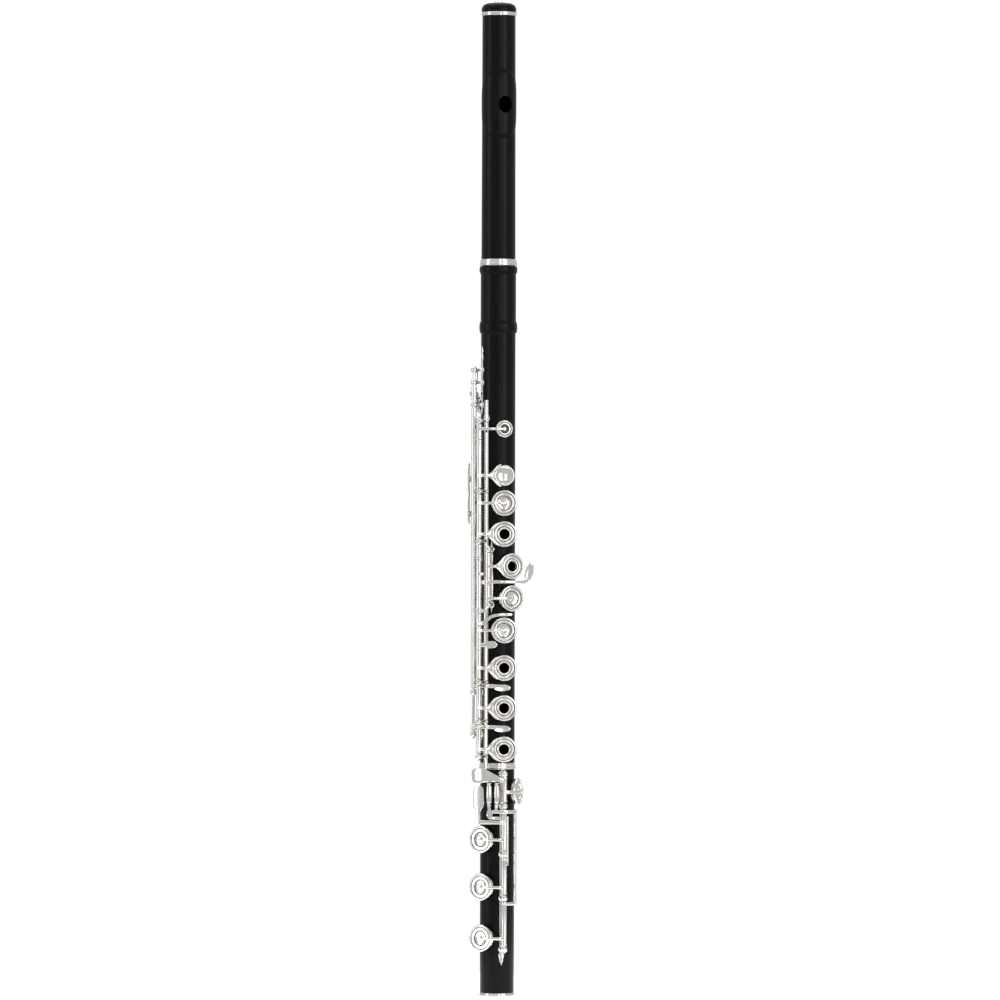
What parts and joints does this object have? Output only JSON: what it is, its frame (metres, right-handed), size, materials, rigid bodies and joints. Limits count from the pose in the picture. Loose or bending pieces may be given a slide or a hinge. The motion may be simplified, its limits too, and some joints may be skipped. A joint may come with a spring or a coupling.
{
  "type": "concert flute",
  "caption": "Wooden transverse flute with silver keywork, open-hole keys and a long foot joint, in head, body and foot joints that slide and turn.",
  "frame": {"origin": "centre of the bore at the foot's lower end face", "axes": "+Z along the bore from foot to crown; -Y is the front, which the key cups and the embouchure hole face"},
  "size_m": [0.0478, 0.0458, 0.7178],
  "materials": {
    "wood": "oiled black hardwood, satin",
    "silver": "polished silver",
    "steel": "ground steel rod",
    "pad": "skin over felt",
    "cork": "cork"
  },
  "bodies": {
    "body": {"body_tube": "wood", "body_socket_lining": "silver", "body_tenon": "silver", "main_rib": "silver", "g_rib": "silver", "trill_rib": "silver", "trill_strap": "silver", "thumb_rib": "silver", "left_hand_steel": "steel", "right_hand_steel": "steel", "g_steel": "steel", "thumb_steel": "steel"},
    "head_ring": {"head_ring": "silver"},
    "head": {"head_tube": "wood", "head_tenon": "silver"},
    "crown": {"crown_cap": "wood", "crown_ring": "silver"},
    "stopper": {"stopper_screw": "silver", "stopper_cork": "cork"},
    "foot_ring": {"foot_socket_ring": "silver"},
    "foot": {"foot_tube": "wood", "foot_bottom_ring": "silver", "foot_rib": "silver", "foot_steel": "steel"},
    "c_sharp_key": {"c_sharp_key": "silver"},
    "a_key": {"a_key": "silver", "pad_a": "pad"},
    "a_sharp_key": {"a_sharp_key": "silver", "pad_a_sharp": "pad"},
    "g_key": {"g_key": "silver", "pad_g": "pad"},
    "lower_g_key": {"lower_g_key": "silver", "pad_lower_g": "pad"},
    "split_e_lever": {"split_e_lever": "silver"},
    "g_sharp_key": {"g_sharp_key": "silver"},
    "b_flat_lever": {"b_flat_lever": "silver"},
    "f_key": {"f_key": "silver", "pad_f": "pad"},
    "f_sharp_key": {"f_sharp_key": "silver", "pad_f_sharp": "pad"},
    "e_key": {"e_key": "silver", "pad_e": "pad"},
    "d_key": {"d_key": "silver", "pad_d": "pad"},
    "d_trill_lever": {"d_trill_lever": "silver"},
    "d_trill_cup": {"d_trill_cup": "silver"},
    "d_sharp_trill": {"d_sharp_trill_key": "silver"},
    "thumb_b_key": {"thumb_b_key": "silver"},
    "thumb_b_flat_key": {"thumb_b_flat_key": "silver"},
    "foot_d_sharp_key": {"foot_d_sharp_key": "silver", "pad_foot_d_sharp": "pad"},
    "foot_c_sharp_key": {"foot_c_sharp_key": "silver", "pad_foot_c_sharp": "pad"},
    "foot_c_key": {"foot_c_key": "silver", "pad_foot_c": "pad"},
    "foot_b_key": {"foot_b_key": "silver", "pad_foot_b": "pad"},
    "roller_c": {"roller_c": "silver"},
    "roller_b": {"roller_b": "silver"}
  },
  "joints": [
    {"name": "tuning_slide", "type": "slide", "parent": "body", "child": "head_ring", "axis": [0, 0, 1], "range_m": [0, 0.015]},
    {"name": "head_turn", "type": "hinge", "parent": "head_ring", "child": "head", "pos_m": [0, 0, 0.53], "axis": [0, 0, 1], "range_deg": [-30, 30]},
    {"name": "crown_turn", "type": "hinge", "parent": "head", "child": "crown", "pos_m": [0, 0, 0.71], "axis": [0, 0, 1], "range_deg": [-180, 180]},
    {"name": "stopper_slide", "type": "slide", "parent": "head", "child": "stopper", "axis": [0, 0, 1], "range_m": [-0.00039, 0.00039]},
    {"name": "foot_slide", "type": "slide", "parent": "body", "child": "foot_ring", "axis": [0, 0, -1], "range_m": [0, 0.005]},
    {"name": "foot_turn", "type": "hinge", "parent": "foot_ring", "child": "foot", "pos_m": [0, 0, 0.167], "axis": [0, 0, 1], "range_deg": [-30, 30]},
    {"name": "c_sharp_key_turn", "type": "hinge", "parent": "body", "child": "c_sharp_key", "pos_m": [-0.0135, -0.01609, 0.376], "axis": [0, 0, 1], "range_deg": [0, 6], "stiffness_Nm_per_rad": 0.01, "springref_deg": -34.38},
    {"name": "a_key_turn", "type": "hinge", "parent": "body", "child": "a_key", "pos_m": [-0.0135, -0.01609, 0.334], "axis": [0, 0, 1], "range_deg": [0, 7], "stiffness_Nm_per_rad": 0.01, "springref_deg": -34.38},
    {"name": "a_sharp_key_turn", "type": "hinge", "parent": "body", "child": "a_sharp_key", "pos_m": [-0.0135, -0.01609, 0.356], "axis": [0, 0, 1], "range_deg": [0, 7], "stiffness_Nm_per_rad": 0.01, "springref_deg": -34.38},
    {"name": "g_key_turn", "type": "hinge", "parent": "body", "child": "g_key", "pos_m": [-0.00701, -0.0198, 0.311], "axis": [0, 0, 1], "range_deg": [0, 7], "stiffness_Nm_per_rad": 0.01, "springref_deg": -34.38},
    {"name": "lower_g_key_turn", "type": "hinge", "parent": "body", "child": "lower_g_key", "pos_m": [-0.00701, -0.0198, 0.288], "axis": [0, 0, 1], "range_deg": [0, 7], "stiffness_Nm_per_rad": 0.01, "springref_deg": -34.38},
    {"name": "split_e_lever_turn", "type": "hinge", "parent": "body", "child": "split_e_lever", "pos_m": [-0.0135, -0.01609, 0.272], "axis": [0, 0, 1], "range_deg": [0, 7], "stiffness_Nm_per_rad": 0.01, "springref_deg": -34.38},
    {"name": "g_sharp_key_turn", "type": "hinge", "parent": "body", "child": "g_sharp_key", "pos_m": [-0.00701, -0.0198, 0.3], "axis": [0, 0, 1], "range_deg": [0, 5], "stiffness_Nm_per_rad": 0.01, "springref_deg": -34.38},
    {"name": "b_flat_lever_turn", "type": "hinge", "parent": "body", "child": "b_flat_lever", "pos_m": [-0.0135, -0.01609, 0.28], "axis": [0, 0, 1], "range_deg": [0, 6], "stiffness_Nm_per_rad": 0.01, "springref_deg": -34.38},
    {"name": "f_key_turn", "type": "hinge", "parent": "body", "child": "f_key", "pos_m": [-0.0135, -0.01609, 0.238], "axis": [0, 0, 1], "range_deg": [0, 7], "stiffness_Nm_per_rad": 0.01, "springref_deg": -34.38},
    {"name": "f_sharp_key_turn", "type": "hinge", "parent": "body", "child": "f_sharp_key", "pos_m": [-0.0135, -0.01609, 0.265], "axis": [0, 0, 1], "range_deg": [0, 7], "stiffness_Nm_per_rad": 0.01, "springref_deg": -34.38},
    {"name": "e_key_turn", "type": "hinge", "parent": "body", "child": "e_key", "pos_m": [-0.0135, -0.01609, 0.209], "axis": [0, 0, 1], "range_deg": [0, 7], "stiffness_Nm_per_rad": 0.01, "springref_deg": -34.38},
    {"name": "d_key_turn", "type": "hinge", "parent": "body", "child": "d_key", "pos_m": [-0.0135, -0.01609, 0.18], "axis": [0, 0, 1], "range_deg": [0, 7], "stiffness_Nm_per_rad": 0.01, "springref_deg": -34.38},
    {"name": "d_trill_lever_turn", "type": "hinge", "parent": "body", "child": "d_trill_lever", "pos_m": [-0.01732, -0.01, 0.3], "axis": [0, 0, 1], "range_deg": [0, 7], "stiffness_Nm_per_rad": 0.01, "springref_deg": -34.38},
    {"name": "d_trill_cup_turn", "type": "hinge", "parent": "body", "child": "d_trill_cup", "pos_m": [-0.0135, -0.01609, 0.409], "axis": [0, 0, 1], "range_deg": [-7.5, 0]},
    {"name": "d_sharp_trill_turn", "type": "hinge", "parent": "body", "child": "d_sharp_trill", "pos_m": [-0.01732, -0.01, 0.3], "axis": [0, 0, 1], "range_deg": [0, 7], "stiffness_Nm_per_rad": 0.01, "springref_deg": -34.38},
    {"name": "thumb_b_key_turn", "type": "hinge", "parent": "body", "child": "thumb_b_key", "pos_m": [-0.01714, 0.0015, 0.35], "axis": [0, 0, -1], "range_deg": [0, 7], "stiffness_Nm_per_rad": 0.01, "springref_deg": -34.38},
    {"name": "thumb_b_flat_key_turn", "type": "hinge", "parent": "body", "child": "thumb_b_flat_key", "pos_m": [-0.01714, 0.0015, 0.37], "axis": [0, 0, -1], "range_deg": [0, 7], "stiffness_Nm_per_rad": 0.01, "springref_deg": -34.38},
    {"name": "foot_d_sharp_key_turn", "type": "hinge", "parent": "foot", "child": "foot_d_sharp_key", "pos_m": [0.00508, -0.02038, 0.15], "axis": [0, 0, -1], "range_deg": [0, 8], "stiffness_Nm_per_rad": 0.01, "springref_deg": -34.38},
    {"name": "foot_c_sharp_key_turn", "type": "hinge", "parent": "foot", "child": "foot_c_sharp_key", "pos_m": [0.00508, -0.02038, 0.115], "axis": [0, 0, -1], "range_deg": [0, 7], "stiffness_Nm_per_rad": 0.01, "springref_deg": -34.38},
    {"name": "foot_c_key_turn", "type": "hinge", "parent": "foot", "child": "foot_c_key", "pos_m": [0.00508, -0.02038, 0.08], "axis": [0, 0, -1], "range_deg": [0, 7], "stiffness_Nm_per_rad": 0.01, "springref_deg": -34.38},
    {"name": "foot_b_key_turn", "type": "hinge", "parent": "foot", "child": "foot_b_key", "pos_m": [0.00508, -0.02038, 0.044], "axis": [0, 0, -1], "range_deg": [0, 7], "stiffness_Nm_per_rad": 0.01, "springref_deg": -34.38},
    {"name": "roller_c_spin", "type": "hinge", "parent": "foot_c_key", "child": "roller_c", "pos_m": [-0.00581, -0.02264, 0.1476], "axis": [0, 0, 1], "continuous": true},
    {"name": "roller_b_spin", "type": "hinge", "parent": "foot_b_key", "child": "roller_b", "pos_m": [-0.00029, -0.02328, 0.1476], "axis": [0, 0, 1], "continuous": true}
  ],
  "couplings": [
    {"joint": "crown_turn", "follows": "stopper_slide", "rad_per_m": -7854},
    {"joint": "a_sharp_key_turn", "follows": "a_key_turn", "ratio": 1},
    {"joint": "lower_g_key_turn", "follows": "g_key_turn", "ratio": 1},
    {"joint": "split_e_lever_turn", "follows": "g_key_turn", "ratio": 1},
    {"joint": "f_sharp_key_turn", "follows": "f_key_turn", "ratio": 1},
    {"joint": "d_trill_cup_turn", "follows": "d_trill_lever_turn", "ratio": -1}
  ]
}
